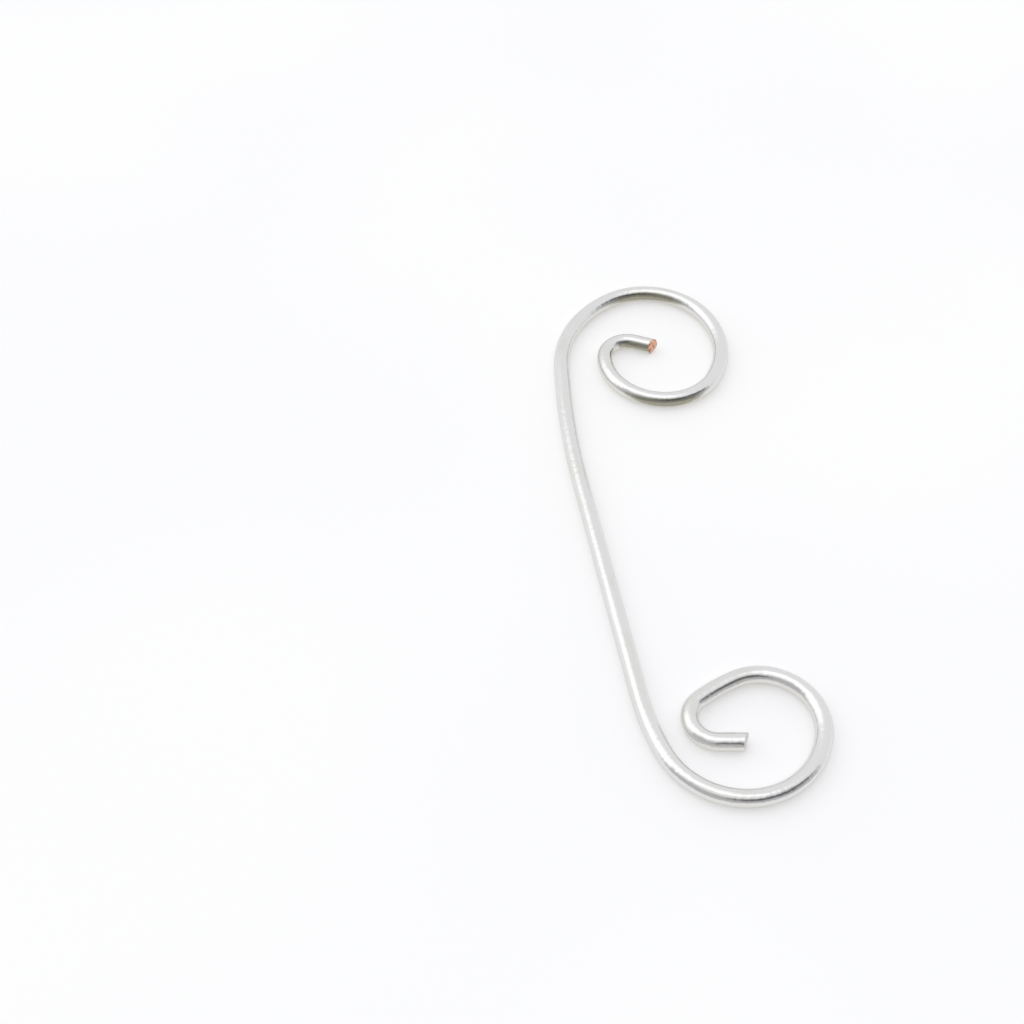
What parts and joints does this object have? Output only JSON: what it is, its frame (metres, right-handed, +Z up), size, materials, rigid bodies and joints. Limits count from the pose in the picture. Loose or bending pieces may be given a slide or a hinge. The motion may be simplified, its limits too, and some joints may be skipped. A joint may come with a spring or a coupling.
{
  "type": "curled wire hanger",
  "caption": "Flat wire hanger with a straight stem and a spiral curl at each end, to hook over a rod or branch and carry a hanging ornament.",
  "frame": {"origin": "on the table, under the middle of the hanger's outline", "axes": "+Y along the stem towards the upper curl, +X towards the side to which both curls are turned, +Z up from the table"},
  "size_m": [0.0254, 0.079, 0.002],
  "materials": {
    "silver_plate": "polished, with fine scratches from bending",
    "copper_core": "bare, as cut"
  },
  "bodies": {
    "root": {"hanger_wire": "silver_plate"}
  },
  "joints": []
}
